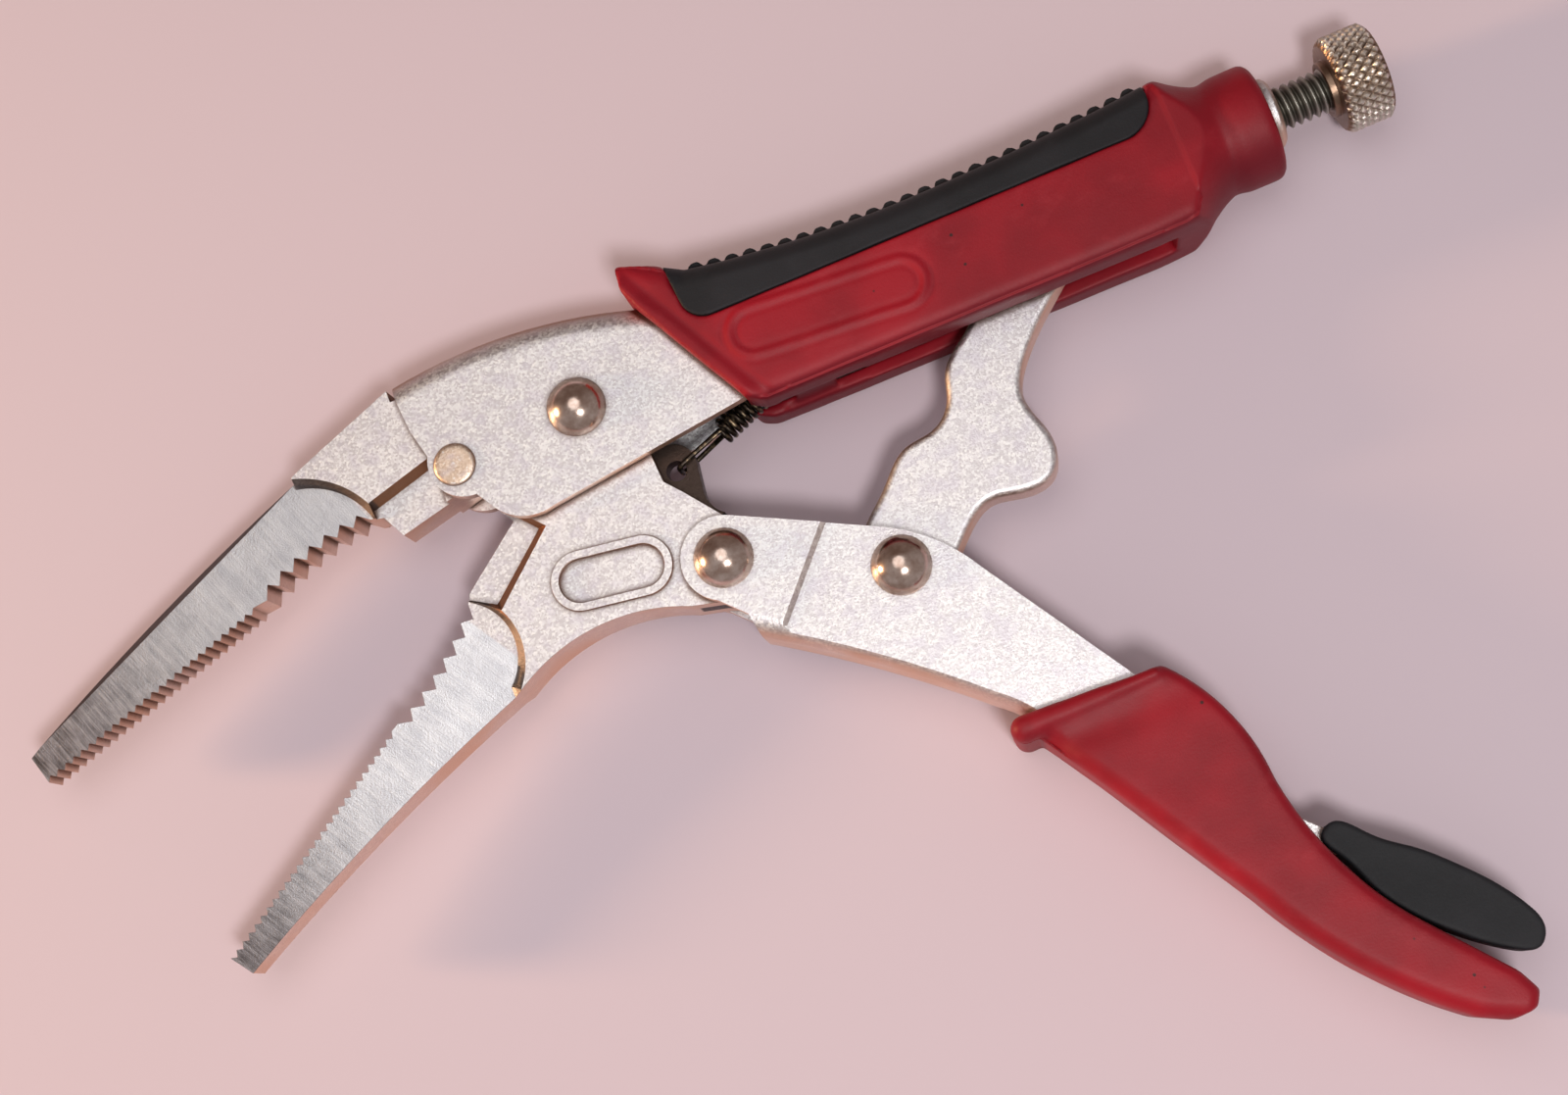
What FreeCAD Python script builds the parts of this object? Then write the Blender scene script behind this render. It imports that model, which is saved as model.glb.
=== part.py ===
"""Long-nose locking pliers with their handles fully open, lying on one side.

The design is drawn in the plane of the tool, from the main pivot: +X runs along the upper handle
to the adjusting knob, +Y points away from the lower handle, and Z is the thickness about the
middle plane. Every piece is then shifted so that the origin is under the middle of the whole tool.
"""
import FreeCAD, Part
import math
import os

Vector = FreeCAD.Vector

# Pivot centres of the toggle linkage (mm, from the main pivot).
MAIN_PIVOT = (0.0, 0.0)
HANDLE_PIVOT = (12.5, -30.4)
LINK_PIVOT = (36.5, -41.5)
LEVER_PIVOT = (67.0, -87.0)
JAW_RIVET = (-20.5, -1.0)
SPRING_ANCHOR = (46.0, 0.0)
LUG_HOLE = (10.2, -14.0)

# Thicknesses, each measured from the middle plane to one side.
JAW_HALF = 4.6
NOSE_HALF = 3.7
CUTTER_HALF = 3.1
LUG_HALF = 1.6
LINK_HALF = 3.0
LEVER_HALF = 1.5
SPRING_LEAF_HALF = 2.4
PAD_HALF = 3.8
WALL_OUT = 6.7
WALL_IN = 4.75
REAR_OUT = 6.1
REAR_IN = 4.1
UPPER_GRIP_HALF = 9.8
LOWER_GRIP_HALF = 8.8
SLIT_HALF = 2.7
SLOT_HALF = 3.4
JOGGLE_RUN = 1.0
UPPER_SPINE_RADIUS = 4.2
LOWER_SPINE_RADIUS = 3.0
LINK_EDGE = 1.2
PAD_EDGE = 0.5
LIP_CENTRE = (44.0, -70.8)
LIP_RADIUS = 2.1
LIP_THIN = 0.9
LIP_REACH = 7.3
BEYOND = 40.0

# Rivets and pins.
PIVOT_SHANK = 3.0
PIVOT_HEAD = 4.6
HEAD_HEIGHT = 3.1
SMALL_SHANK = 2.0
SMALL_HEAD = 3.3
SMALL_HEAD_HEIGHT = 0.5
PIN_RADIUS = 1.5
RUNNING_GAP = 0.06

# Adjusting screw.
SCREW_Y = 2.4
SCREW_RADIUS = 3.45
SCREW_TIP = 94.5
SCREW_END = 129.0
BUSH_RADIUS = 5.5
BUSH_START = 99.0
BUSH_END = 114.5
KNOB_START = 123.5
KNOB_LENGTH = 7.6
KNOB_RADIUS = 7.6
KNOB_COLLAR = 1.0

# Round collar at the upper grip's rear end.
COLLAR_Y = 1.7
COLLAR_RADIUS = 9.2
COLLAR_END = 112.6
SLIT_END = 31.0
SLOT_START = 38.0
SLOT_OVERLAP = 2.0
SLOT_END = 93.0
WEB_RELIEF_Y = -9.8

# Jaw teeth.
FINE_TEETH = 27
FINE_DEPTH = 0.8
COARSE_TEETH = 7
COARSE_DEPTH = 1.6

# Grip ribs.
RIB_COUNT = 26
RIB_RADIUS = 1.25
RIB_SINK = 0.15
RIB_HALF_LENGTH = 6.2
INLAY_FRONT = 24.5
INLAY_REAR = 94.6
INLAY_DEPTH = 1.2


def flat_point(point):
    """A point of the tool's plane as a vector."""
    return Vector(point[0], point[1], 0)


def outline(start, *steps):
    """A closed wire: a pair is a straight run's end, a pair of pairs an arc's middle and end."""
    edges = []
    here = flat_point(start)
    for step in steps + (start,):
        is_arc = isinstance(step[0], tuple)
        there = flat_point(step[1] if is_arc else step)
        if (there - here).Length < 1e-6:
            continue
        if is_arc:
            edges.append(Part.Arc(here, flat_point(step[0]), there).toShape())
        else:
            edges.append(Part.LineSegment(here, there).toShape())
        here = there
    return Part.Wire(edges)


def smooth_outline(points):
    """A closed smooth curve through the points."""
    curve = Part.BSplineCurve()
    curve.interpolate([flat_point(point) for point in points], PeriodicFlag=True)
    return Part.Wire([curve.toShape()])


def slab(wire, low, high):
    """The wire's area, filled from z = low to z = high."""
    face = Part.Face(wire)
    face.translate(Vector(0, 0, low))
    return face.extrude(Vector(0, 0, high - low))


def plate(wire, half):
    """The wire's area, as thick as half on each side of the middle plane."""
    return slab(wire, -half, half)


def disc(centre, radius, half):
    """A round plate about the middle plane, with its axis along Z."""
    return Part.makeCylinder(radius, 2 * half, Vector(centre[0], centre[1], -half))


def bar(x_start, x_end, radius, height=SCREW_Y):
    """A round bar along X."""
    return Part.makeCylinder(radius, x_end - x_start, Vector(x_start, height, 0), Vector(1, 0, 0))


def is_side_edge(edge, half):
    """True for an edge that lies wholly in one of the two side faces of a plate."""
    return abs(edge.BoundBox.ZLength) < 1e-4 and abs(abs(edge.BoundBox.ZMin) - half) < 1e-4


def round_sides(solid, half, radius, chosen):
    """Round the side edges whose middle passes the test."""
    edges = [e for e in solid.Edges if is_side_edge(e, half) and chosen(e.CenterOfMass)]
    return solid.makeFillet(radius, edges)


def rod(points, radius):
    """Round wire through the points, with ball-rounded bends."""
    shape = None
    for first, last in zip(points, points[1:]):
        run = Vector(*last) - Vector(*first)
        piece = Part.makeCylinder(radius, run.Length, Vector(*first), run)
        piece = piece.fuse(Part.makeSphere(radius, Vector(*last)))
        shape = piece if shape is None else shape.fuse(piece)
    return shape.removeSplitter()


def capsule(centre, length, width, tilt, low, high):
    """A round-ended slab, its long side tilted from X by the given degrees."""
    reach = (length - width) / 2
    side = width / 2
    wire = outline((-reach, -side), (reach, -side), ((reach + side, 0), (reach, side)),
                   (-reach, side), ((-reach - side, 0), (-reach, -side)))
    solid = slab(wire, low, high)
    solid.rotate(Vector(0, 0, 0), Vector(0, 0, 1), tilt)
    solid.translate(flat_point(centre))
    return solid


def saw(start, end, count, depth, bow=0.0):
    """Tooth tips and roots from start towards end, cut to the left, bowed left of the chord."""
    length = math.hypot(end[0] - start[0], end[1] - start[1])
    along = ((end[0] - start[0]) / length, (end[1] - start[1]) / length)
    points = []
    for step in range(2 * count):
        t = step / (2 * count)
        inward = depth * (step % 2) + 4 * bow * t * (1 - t)
        points.append((start[0] + along[0] * length * t - along[1] * inward,
                       start[1] + along[1] * length * t + along[0] * inward))
    return points


def rivet(centre, half, shank, head, height):
    """A rivet with a domed head on each side wall."""
    dome = (head * head + height * height) / (2 * height)
    rise = head * 0.5
    crown = half + height - dome + math.sqrt(dome * dome - rise * rise)
    profile = [
        Part.Arc(Vector(0, 0, half + height), Vector(rise, 0, crown), Vector(head, 0, half)),
        Part.LineSegment(Vector(head, 0, half), Vector(shank, 0, half)),
        Part.LineSegment(Vector(shank, 0, half), Vector(shank, 0, -half)),
        Part.LineSegment(Vector(shank, 0, -half), Vector(head, 0, -half)),
        Part.Arc(Vector(head, 0, -half), Vector(rise, 0, -crown), Vector(0, 0, -half - height)),
        Part.LineSegment(Vector(0, 0, -half - height), Vector(0, 0, half + height)),
    ]
    face = Part.Face(Part.Wire([curve.toShape() for curve in profile]))
    solid = face.revolve(Vector(0, 0, 0), Vector(0, 0, 1), 360)
    solid.translate(flat_point(centre))
    return solid


def both_sides(cutter):
    """The cutter and its mirror image in the middle plane."""
    return cutter.fuse(cutter.mirror(Vector(0, 0, 0), Vector(0, 0, 1)))


def nose_cutter(inner, outer, root, run, taper):
    """Grinds one side of a nose: inner and outer bound the cut at the floor and at the face.

    The floor tilts about the nose's root, so the nose thins towards its tip.
    """
    top = JAW_HALF + 0.2
    floor = outline(*inner)
    face = outline(*outer)
    clearance = slab(face, top, top + 8.0)
    floor.translate(Vector(0, 0, NOSE_HALF))
    face.translate(Vector(0, 0, top))
    cutter = Part.makeLoft([floor, face], True, True).fuse(clearance)
    across = Vector(-run[1], run[0], 0)
    cutter.rotate(Vector(root[0], root[1], NOSE_HALF), across, taper)
    return cutter


# ---- Upper handle and fixed jaw ------------------------------------------------------------

def upper_envelope():
    """The outside of the upper handle's channel, with its rounded back."""
    wire = outline((-26.0, 15.2), ((-6.0, 15.9), (16.0, 10.8)), (26.0, 8.6), (99.0, 8.6), (99.0, -3.0),
                   (90.0, -8.8), (24.4, -8.8), (-8.6, -12.9), ((-14.3, -12.2), (-17.4, -9.0)),
                   (-18.9, -6.6), ((-23.5, -4.2), (-24.0, 1.8)), (-25.2, 6.5))
    solid = plate(wire, WALL_OUT)
    return round_sides(solid, WALL_OUT, UPPER_SPINE_RADIUS, lambda c: c.y > 8.0 and c.x > -20)


def upper_handle_channel():
    """Pressed U channel, open below, that holds the fixed jaw in its front end."""
    inside = outline((-40.0, 13.2), (-26.0, 13.2), ((-6.2, 13.9), (15.4, 8.9)), (25.6, 6.6),
                     (99.5, 6.6), (99.5, -BEYOND), (-40.0, -BEYOND))
    hollow = plate(inside, WALL_IN)
    shape = upper_envelope().cut(hollow)
    shape = shape.cut(disc(MAIN_PIVOT, PIVOT_SHANK, WALL_OUT + 1))
    shape = shape.cut(disc(JAW_RIVET, SMALL_SHANK, WALL_OUT + 1))
    return shape.cut(disc(SPRING_ANCHOR, PIN_RADIUS, WALL_OUT + 1))


def fixed_jaw():
    """Forged jaw: ground nose with fine and pipe teeth, a wire cutter and a tail."""
    fine = saw((-97.4, -21.6), (-57.2, -9.2), FINE_TEETH, FINE_DEPTH)
    coarse = saw((-55.7, -8.4), (-36.2, -3.0), COARSE_TEETH, COARSE_DEPTH, 1.2)
    wire = outline(*fine, *coarse, (-36.2, -3.0), (-34.3, -3.4), (-32.3, -7.2), (-19.8, -4.4),
                   (-9.5, 4.2), (-9.5, 12.4), (-27.0, 12.9), (-27.0, 14.8), (-45.5, 7.9),
                   ((-71.0, -2.5), (-98.9, -17.0)))
    shape = plate(wire, JAW_HALF)
    inner = [(-46.5, 30.0), (-45.6, 6.0), ((-39.6, 3.0), (-35.6, -3.6)), (-35.6, -BEYOND),
             (-110.0, -BEYOND), (-110.0, 30.0)]
    outer = [(-46.5, 30.0), (-45.5, 7.8), ((-38.3, 3.6), (-34.0, -3.6)), (-34.0, -BEYOND),
             (-110.0, -BEYOND), (-110.0, 30.0)]
    run = (-0.92, -0.39)
    shape = shape.cut(both_sides(nose_cutter(inner, outer, (-38.0, 1.0), run, 1.1)))
    shape = shape.cut(both_sides(back_bevel((-45.3, 6.3), (-98.6, -16.6), NOSE_HALF - 1.0, 0.2)))
    shape = shape.cut(both_sides(back_bevel((-27.0, 14.8), (-45.5, 7.5), JAW_HALF - 1.5, 0.0)))
    floor = [(-35.4, -1.9), (-24.0, 1.2), (-24.0, -10.0), (-35.4, -10.0)]
    face = [(-35.4, -0.7), (-24.0, 2.4), (-24.0, -10.0), (-35.4, -10.0)]
    shape = shape.cut(cutter_recess(floor, face))
    return shape.cut(disc(JAW_RIVET, SMALL_SHANK, JAW_HALF + 1))


def back_bevel(near, far, height, taper):
    """A slanted cut along the fixed jaw's back, on the line between two points.

    The cut starts at the height on the back's side face, which thins by the taper's degrees.
    """
    length = math.hypot(far[0] - near[0], far[1] - near[1])
    block = Part.makeBox(length + 6, 10, 10, Vector(-2, 0, 0))
    block.rotate(Vector(0, 0, 0), Vector(1, 0, 0), -38)
    heading = math.degrees(math.atan2(near[1] - far[1], near[0] - far[0]))
    block.rotate(Vector(0, 0, 0), Vector(0, 0, 1), heading)
    block.translate(Vector(far[0], far[1], height))
    block.rotate(Vector(near[0], near[1], height), Vector(0.39, -0.92, 0), taper)
    return block


def cutter_recess(floor, face):
    """Sloping-walled recess beside a cutting edge, bounded at its floor and at the jaw's face."""
    low = outline(*floor)
    high = outline(*face)
    low.translate(Vector(0, 0, CUTTER_HALF))
    high.translate(Vector(0, 0, JAW_HALF + 0.01))
    return both_sides(Part.makeLoft([low, high], True, True))


def thread_bush():
    """Threaded sleeve in the rear end of the upper handle; its bore takes the screw."""
    sleeve = bar(BUSH_START, BUSH_END, BUSH_RADIUS)
    sleeve = sleeve.makeChamfer(0.6, [sleeve.Edges[0]])
    neck = bar(BUSH_START - 7, BUSH_START, 4.1)
    return sleeve.fuse(neck).removeSplitter().cut(bar(80, 120, SCREW_RADIUS + RUNNING_GAP))


def grip_top(x):
    """Height of the upper grip's hollowed top between its two ends."""
    middle, front_rise, rear_rise = 58.0, 3.1, 2.0
    if x < middle:
        return 10.0 + front_rise * ((middle - x) / 34.0) ** 2
    return 10.0 + rear_rise * ((x - middle) / 39.0) ** 2


def upper_grip_envelope(inset=0.0, half=UPPER_GRIP_HALF):
    """Outside of the upper grip's long sleeve, or a smaller copy of it inside."""
    saddle = [(x, grip_top(x) - inset) for x in (23.0, 40.0, 58.0, 77.5, 97.0)]
    wire = outline((12.8 + inset, 13.4), (13.2 + inset, 17.4 - inset), (19.6, 15.4 - inset),
                   saddle[0], (saddle[1], saddle[2]), (saddle[3], saddle[4]),
                   (99.6, 12.3 - inset), (104.5, 10.4 - inset), (106.0, 9.0 - inset),
                   (106.0, -7.2 + inset), (100.5, -10.6 + inset), (90.0, -11.3 + inset),
                   (27.0 + inset, -10.9 + inset), (24.6 + inset, -9.6 + inset),
                   (14.2 + inset, 9.8))
    solid = plate(wire, half)
    solid = round_sides(solid, half, 3.6, lambda c: c.y > 8.9 and c.x > 20.5)
    return round_sides(solid, half, 2.4, lambda c: c.y < -8.0 and 30 < c.x < 95)


def inlay_block():
    """Everything in the upper, black part of the upper grip, before it is hollowed."""
    wire = outline((INLAY_FRONT, 4.4), (91.6, 4.4), ((95.0, 6.0), (96.6, 10.4)), (96.6, 20.0),
                   (19.6, 20.0), (20.6, 8.4), ((21.9, 5.4), (INLAY_FRONT, 4.4)))
    return plate(wire, UPPER_GRIP_HALF + 1)


def upper_grip_inlay():
    """Soft black saddle let into the grip's top, with a row of cross ribs."""
    shell = upper_grip_envelope().common(inlay_block())
    for index in range(RIB_COUNT):
        x = INLAY_FRONT + (INLAY_REAR - INLAY_FRONT) * index / (RIB_COUNT - 1)
        centre = (x, grip_top(x) - RIB_SINK)
        shell = shell.fuse(disc(centre, RIB_RADIUS, RIB_HALF_LENGTH))
    return shell.cut(upper_grip_envelope(INLAY_DEPTH, UPPER_GRIP_HALF - INLAY_DEPTH))


def neck_cutter():
    """Round cove that turns the grip's flat sides into the round collar at its rear."""
    profile = outline((95.5, BEYOND), (95.5, 16.6), ((99.6, 11.6), (104.6, 8.7)), (107.8, 9.4),
                      (107.8, BEYOND))
    solid = Part.Face(profile).revolve(Vector(0, 0, 0), Vector(1, 0, 0), 360)
    solid.translate(Vector(0, COLLAR_Y, 0))
    return solid


def underside_cut(x_start, x_end, top, half):
    """Everything below the given height between two places along the upper grip."""
    wire = outline((x_start, top), (x_end, top), (x_end, -BEYOND), (x_start, -BEYOND))
    return plate(wire, half)


def upper_grip():
    """Moulded sleeve over the upper handle, slotted below for the link and the spring."""
    collar = bar(98.0, COLLAR_END, COLLAR_RADIUS, COLLAR_Y)
    rim = [edge for edge in collar.Edges if edge.CenterOfMass.x > COLLAR_END - 0.1]
    shape = upper_grip_envelope().fuse(collar.makeFillet(1.4, rim))
    shape = shape.cut(neck_cutter())
    shape = shape.cut(upper_envelope())
    shape = shape.cut(bar(90.0, 120.0, BUSH_RADIUS))
    shape = shape.cut(underside_cut(0.0, SLIT_END, 0.0, SLIT_HALF))
    shape = shape.cut(underside_cut(SLIT_END - SLOT_OVERLAP, SLOT_START, WEB_RELIEF_Y, SLOT_HALF))
    shape = shape.cut(underside_cut(SLOT_START, SLOT_END, 0.0, SLOT_HALF))
    core = upper_grip_envelope(INLAY_DEPTH, UPPER_GRIP_HALF - INLAY_DEPTH)
    shape = shape.cut(upper_grip_envelope(-0.3, UPPER_GRIP_HALF + 0.3).common(
        inlay_block()).cut(core))
    return shape


# ---- Moving jaw ----------------------------------------------------------------------------

def moving_jaw():
    """Forged jaw with a boss at each pivot, a wire cutter and a thin spring lug."""
    coarse = saw((-26.5, -21.3), (-42.9, -34.1), COARSE_TEETH, COARSE_DEPTH, 0.9)
    fine = saw((-44.2, -34.8), (-79.0, -57.4), FINE_TEETH, FINE_DEPTH)
    wire = outline(*coarse, (-42.9, -34.1), *fine, (-79.0, -57.4), (-76.4, -60.8),
                   ((-49.0, -47.2), (-23.3, -36.9)), ((-8.0, -32.2), (5.2, -34.9)),
                   (9.6, -36.0), ((15.9, -35.7), (18.4, -28.8)), (10.2, -18.1), (8.0, -15.5),
                   (7.6, -8.6), (8.2, -2.0), ((0.9, 8.45), (-7.6, 3.8)), (-15.3, -11.5),
                   (-25.9, -19.7))
    shape = plate(wire, JAW_HALF)
    inner = [(-26.1, 10.0), (-26.1, -21.2), ((-21.7, -28.2), (-24.6, -35.6)),
             (-24.6, -80.0), (-100.0, -80.0), (-100.0, 10.0)]
    outer = [(-26.1, 10.0), (-26.1, -19.6), ((-20.3, -28.2), (-23.0, -36.9)),
             (-23.0, -80.0), (-100.0, -80.0), (-100.0, 10.0)]
    run = (-0.84, -0.54)
    shape = shape.cut(both_sides(nose_cutter(inner, outer, (-24.0, -28.0), run, 1.1)))
    floor = [(-29.0, -19.0), (-17.0, -9.0), (-12.4, -14.4), (-22.4, -22.9)]
    face = [(-29.8, -19.0), (-17.0, -8.2), (-11.0, -14.8), (-21.8, -24.3)]
    shape = shape.cut(cutter_recess(floor, face))
    shape = shape.fuse(spring_lug())
    centre = (-4.2, -25.6)
    rim = capsule(centre, 18.8, 9.2, -8.8, JAW_HALF - 1, JAW_HALF + 0.45)
    field = capsule(centre, 16.4, 6.8, -8.8, JAW_HALF - 0.35, JAW_HALF + 1)
    shape = shape.fuse(rim).cut(field)
    shape = shape.cut(disc(LUG_HOLE, 1.6, JAW_HALF + 1))
    shape = shape.cut(disc(MAIN_PIVOT, PIVOT_SHANK + RUNNING_GAP, JAW_HALF + 1))
    return shape.cut(disc(HANDLE_PIVOT, PIVOT_SHANK + RUNNING_GAP, JAW_HALF + 1))


def spring_lug():
    """Thin ear behind the jaw's body that the tension spring hooks into."""
    wire = outline((6.0, -9.0), (8.8, -9.8), ((12.6, -10.8), (13.5, -14.0)), (12.9, -18.4),
                   ((13.2, -20.8), (14.8, -22.8)), (10.0, -24.0), (6.0, -16.0))
    return plate(wire, LUG_HALF)


# ---- Lower handle --------------------------------------------------------------------------

def lower_wire():
    """Side view of the lower handle's channel, from its ears to its rear end."""
    return outline((15.4, -24.6), (29.6, -31.8), (36.6, -35.4), ((43.0, -40.4), (47.2, -46.2)),
                   (62.3, -70.4), (70.8, -84.5), ((73.8, -98.5), (88.2, -121.2)),
                   (84.2, -124.6), ((73.0, -113.0), (60.6, -94.6)), (49.0, -76.6),
                   ((45.9, -69.6), (41.5, -65.0)), ((28.1, -53.6), (13.4, -43.2)),
                   (12.9, -39.6), (9.4, -36.0), ((6.0, -30.6), (15.4, -24.6)))


def lower_hollow(half, end=(86.2, -123.2)):
    """Room between the lower handle's side walls, open above and in front."""
    wire = outline((0.0, -30.6), (14.9, -41.6), ((29.4, -51.9), (42.9, -63.3)),
                   ((47.6, -68.6), (50.9, -75.8)), (62.3, -93.6), ((74.8, -111.8), end),
                   (110.0, -118.0), (90.0, -60.0), (60.0, -20.0), (0.0, -15.0))
    return plate(wire, half)


def rear_boundary(height, shift):
    """The area behind the joggle in the lower handle's side walls, moved back by the shift."""
    wire = outline((30.4 + shift, -28.0), (16.6 + shift, -43.4), (20.0 + shift, -90.0),
                   (120.0, -160.0), (120.0, -28.0))
    wire.translate(Vector(0, 0, height))
    return wire


def wall_relief():
    """Takes one side wall back to its narrow part, with a slope at the joggle."""
    rise = WALL_OUT - REAR_OUT
    low = rear_boundary(REAR_OUT, JOGGLE_RUN)
    high = rear_boundary(REAR_OUT + 2 * rise, -JOGGLE_RUN)
    return Part.makeLoft([low, high], True, True)


def is_lower_spine(point):
    """True for a point beside the lower handle's back rather than its open side."""
    return point.y < -1.46 * point.x - 1 and point.x > 14


def lower_envelope():
    """Outside of the lower handle: wide ears over the jaw, narrower behind a joggle."""
    solid = plate(lower_wire(), WALL_OUT)
    solid = round_sides(solid, WALL_OUT, LOWER_SPINE_RADIUS, is_lower_spine)
    return solid.cut(both_sides(wall_relief()))


def lower_handle_channel():
    """Pressed U channel, open above: wide ears over the jaw, narrower behind a joggle."""
    shape = lower_envelope()
    rear = slab(rear_boundary(-BEYOND, -JOGGLE_RUN), 0, 2 * BEYOND)
    wide = lower_hollow(WALL_IN).cut(rear)
    shape = shape.cut(wide.fuse(lower_hollow(REAR_IN)))
    shape = shape.cut(disc(HANDLE_PIVOT, PIVOT_SHANK, WALL_OUT + 1))
    shape = shape.cut(disc(LINK_PIVOT, PIVOT_SHANK, WALL_OUT + 1))
    return shape.cut(disc(LEVER_PIVOT, PIN_RADIUS, WALL_OUT + 1))


def lip_side():
    """The rolled lip's thinning run along one side of the lower grip's mouth."""
    start = Vector(*LIP_CENTRE, LIP_REACH)
    run = Vector(65.0, -70.6, LIP_REACH + 1.3) - start
    return Part.makeCone(LIP_RADIUS, LIP_THIN, run.Length, start, run)


def lower_grip():
    """Dipped sleeve with a flared lip, open above for the release lever."""
    wire = outline((65.6, -69.6), ((71.9, -79.5), (74.0, -90.0)), ((76.9, -102.3), (83.6, -114.6)),
                   (94.2, -127.2), (95.7, -130.4), (94.4, -132.6), (90.6, -133.0), (86.4, -131.0),
                   ((76.2, -121.4), (65.1, -105.2)), (50.8, -81.2), (43.4, -69.6))
    shape = round_sides(plate(wire, LOWER_GRIP_HALF), LOWER_GRIP_HALF, 2.8,
                        lambda c: is_lower_spine(c) and c.x < 90)
    shape = round_sides(shape, LOWER_GRIP_HALF, 1.6, lambda c: not is_lower_spine(c) and c.y < -70)
    shape = shape.fuse(disc(LIP_CENTRE, LIP_RADIUS, LIP_REACH))
    bulb = Part.makeSphere(LIP_RADIUS, Vector(*LIP_CENTRE, LIP_REACH))
    shape = shape.fuse(both_sides(bulb)).fuse(both_sides(lip_side()))
    shape = shape.cut(lower_envelope())
    return shape.cut(lower_hollow(REAR_IN, (91.9, -129.7)))


# ---- Toggle link, release lever and small pieces ---------------------------------------------

def toggle_link():
    """Thick link from the lower handle to the screw's tip, with a bump for the release lever."""
    wire = smooth_outline([(30.3, -40.6), (33.6, -33.2), (38.2, -29.0), (43.6, -24.4),
                           (48.4, -23.5), (51.9, -20.3), (53.4, -16.0), (58.2, -11.6),
                           (66.0, -4.0), (77.0, 4.0), (82.5, 5.8), (85.8, 2.4), (83.6, -2.0),
                           (73.4, -11.2), (66.6, -17.4), (62.8, -24.4), (64.4, -31.6),
                           (62.4, -36.9), (57.2, -37.7), (52.2, -37.0), (47.6, -39.8),
                           (41.2, -45.8), (35.2, -47.5)])
    shape = plate(wire, LINK_HALF)
    edges = [edge for edge in shape.Edges if is_side_edge(edge, LINK_HALF)]
    shape = shape.makeFillet(LINK_EDGE, edges)
    return shape.cut(disc(LINK_PIVOT, PIVOT_SHANK + RUNNING_GAP, LINK_HALF + 1))


def release_lever():
    """Flat steel lever inside the lower handle: nose under the link's bump, tail in the pad."""
    wire = outline((50.6, -67.0), ((52.4, -66.4), (53.6, -68.0)), (60.4, -76.4), (69.0, -85.0),
                   (72.0, -91.9), (76.0, -97.1), (79.8, -101.0), (92.6, -114.6),
                   ((93.6, -118.6), (91.2, -118.6)), (78.2, -103.2), (71.6, -93.6), (65.0, -91.0),
                   (57.6, -80.4), (51.4, -72.6))
    return plate(wire, LEVER_HALF).cut(disc(LEVER_PIVOT, PIN_RADIUS + RUNNING_GAP, LEVER_HALF + 1))


def release_lever_pad():
    """Soft finger pad pushed over the tail of the release lever."""
    wire = smooth_outline([(77.5, -99.6), (79.2, -98.9), (83.7, -102.6), (88.2, -106.2),
                           (92.5, -110.2), (96.4, -114.6), (99.7, -119.6), (100.5, -123.0),
                           (98.8, -125.4), (94.9, -124.2), (88.6, -119.3), (84.4, -115.0),
                           (80.9, -109.6), (78.2, -103.4)])
    shape = plate(wire, PAD_HALF)
    edges = [edge for edge in shape.Edges if is_side_edge(edge, PAD_HALF)]
    return shape.makeFillet(PAD_EDGE, edges).cut(release_lever())


def release_lever_spring():
    """Folded leaf on the lower handle's back that lifts the rear of the release lever."""
    wire = outline((63.0, -94.6), ((66.6, -100.3), (70.4, -105.8)), ((73.6, -106.4), (73.9, -103.2)),
                   ((72.9, -98.4), (71.2, -93.6)), (70.6, -93.9), ((72.3, -98.5), (73.3, -103.2)),
                   ((73.0, -105.7), (70.9, -105.3)), ((67.1, -99.9), (63.5, -94.3)))
    return plate(wire, SPRING_LEAF_HALF)


def tension_spring():
    """Coil between the moving jaw's lug and the anchor pin, as a sleeve with two hooks."""
    run = Vector(SPRING_ANCHOR[0] - LUG_HOLE[0], SPRING_ANCHOR[1] - LUG_HOLE[1], 0)
    run.normalize()
    hook = flat_point(LUG_HOLE)
    start = hook + run * 9.0
    end = flat_point(SPRING_ANCHOR) - run * 5.0
    length = (end - start).Length
    coil = Part.makeCylinder(2.2, length, start, run).cut(Part.makeCylinder(1.3, length, start, run))
    wire = 0.45
    bend = hook + run * 1.0
    front = rod([tuple(start + run * 0.4 + Vector(0, 0, 1.75)), tuple(bend + Vector(0, 0, 2.3)),
                 tuple(bend + Vector(0, 0, -2.3))], wire)
    eye = Part.makeTorus(2.2, wire, flat_point(SPRING_ANCHOR), Vector(0, 0, 1))
    rear = rod([tuple(end - run * 0.4 + Vector(0, 0, 1.75)),
                tuple(flat_point(SPRING_ANCHOR) - run * 2.2)], wire)
    return coil.fuse([front, eye, rear]).removeSplitter()


def cross_pin(centre, half):
    """A plain pin across a channel."""
    return disc(centre, PIN_RADIUS, half)


def adjusting_screw():
    """Screw shank from its tip in the handle to its end inside the knob."""
    shank = bar(SCREW_TIP, SCREW_END, SCREW_RADIUS)
    rims = [edge for edge in shank.Edges if len(edge.Vertexes) == 1]
    return shank.makeChamfer(0.7, rims)


def adjusting_knob():
    """Round knob with chamfered rims and a short collar, bored for the screw's end."""
    barrel = bar(KNOB_START, KNOB_START + KNOB_LENGTH, KNOB_RADIUS)
    rims = [edge for edge in barrel.Edges if len(edge.Vertexes) == 1]
    barrel = barrel.makeChamfer(0.9, rims)
    shape = barrel.fuse(bar(KNOB_START - KNOB_COLLAR, KNOB_START, 4.4)).removeSplitter()
    return shape.cut(bar(KNOB_START - 3, SCREW_END + 0.3, SCREW_RADIUS + RUNNING_GAP))


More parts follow.
